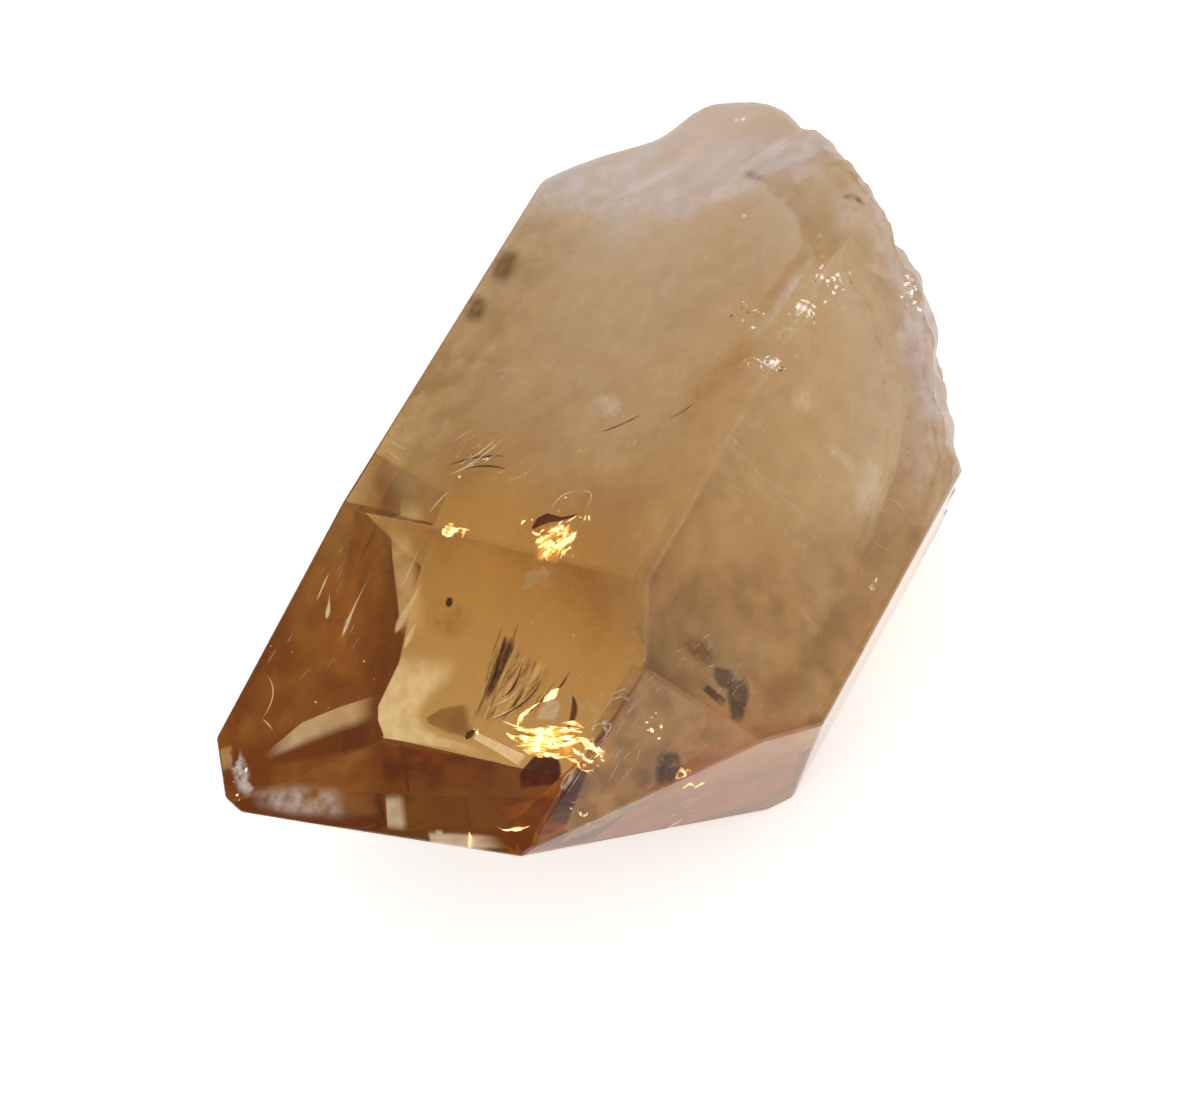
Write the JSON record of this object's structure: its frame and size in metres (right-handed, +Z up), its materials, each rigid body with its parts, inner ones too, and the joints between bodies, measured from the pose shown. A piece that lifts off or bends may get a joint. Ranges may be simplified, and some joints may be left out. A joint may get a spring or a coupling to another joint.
{
  "type": "citrine crystal",
  "caption": "Single natural quartz point in clear amber, with flat prism faces, a slanted faceted tip and a rough milky broken end, lying on one prism face.",
  "frame": {"origin": "centre of the bounding box's bottom, on the surface that the crystal lies on", "axes": "+Z up, out of the broad prism face on top; -X along the crystal's long axis towards its point; +X towards the broken end"},
  "size_m": [0.0854, 0.065, 0.036],
  "materials": {
    "citrine": "glossy worn natural faces, frosted at the broken end"
  },
  "bodies": {
    "root": {"citrine_crystal": "citrine"}
  },
  "joints": []
}
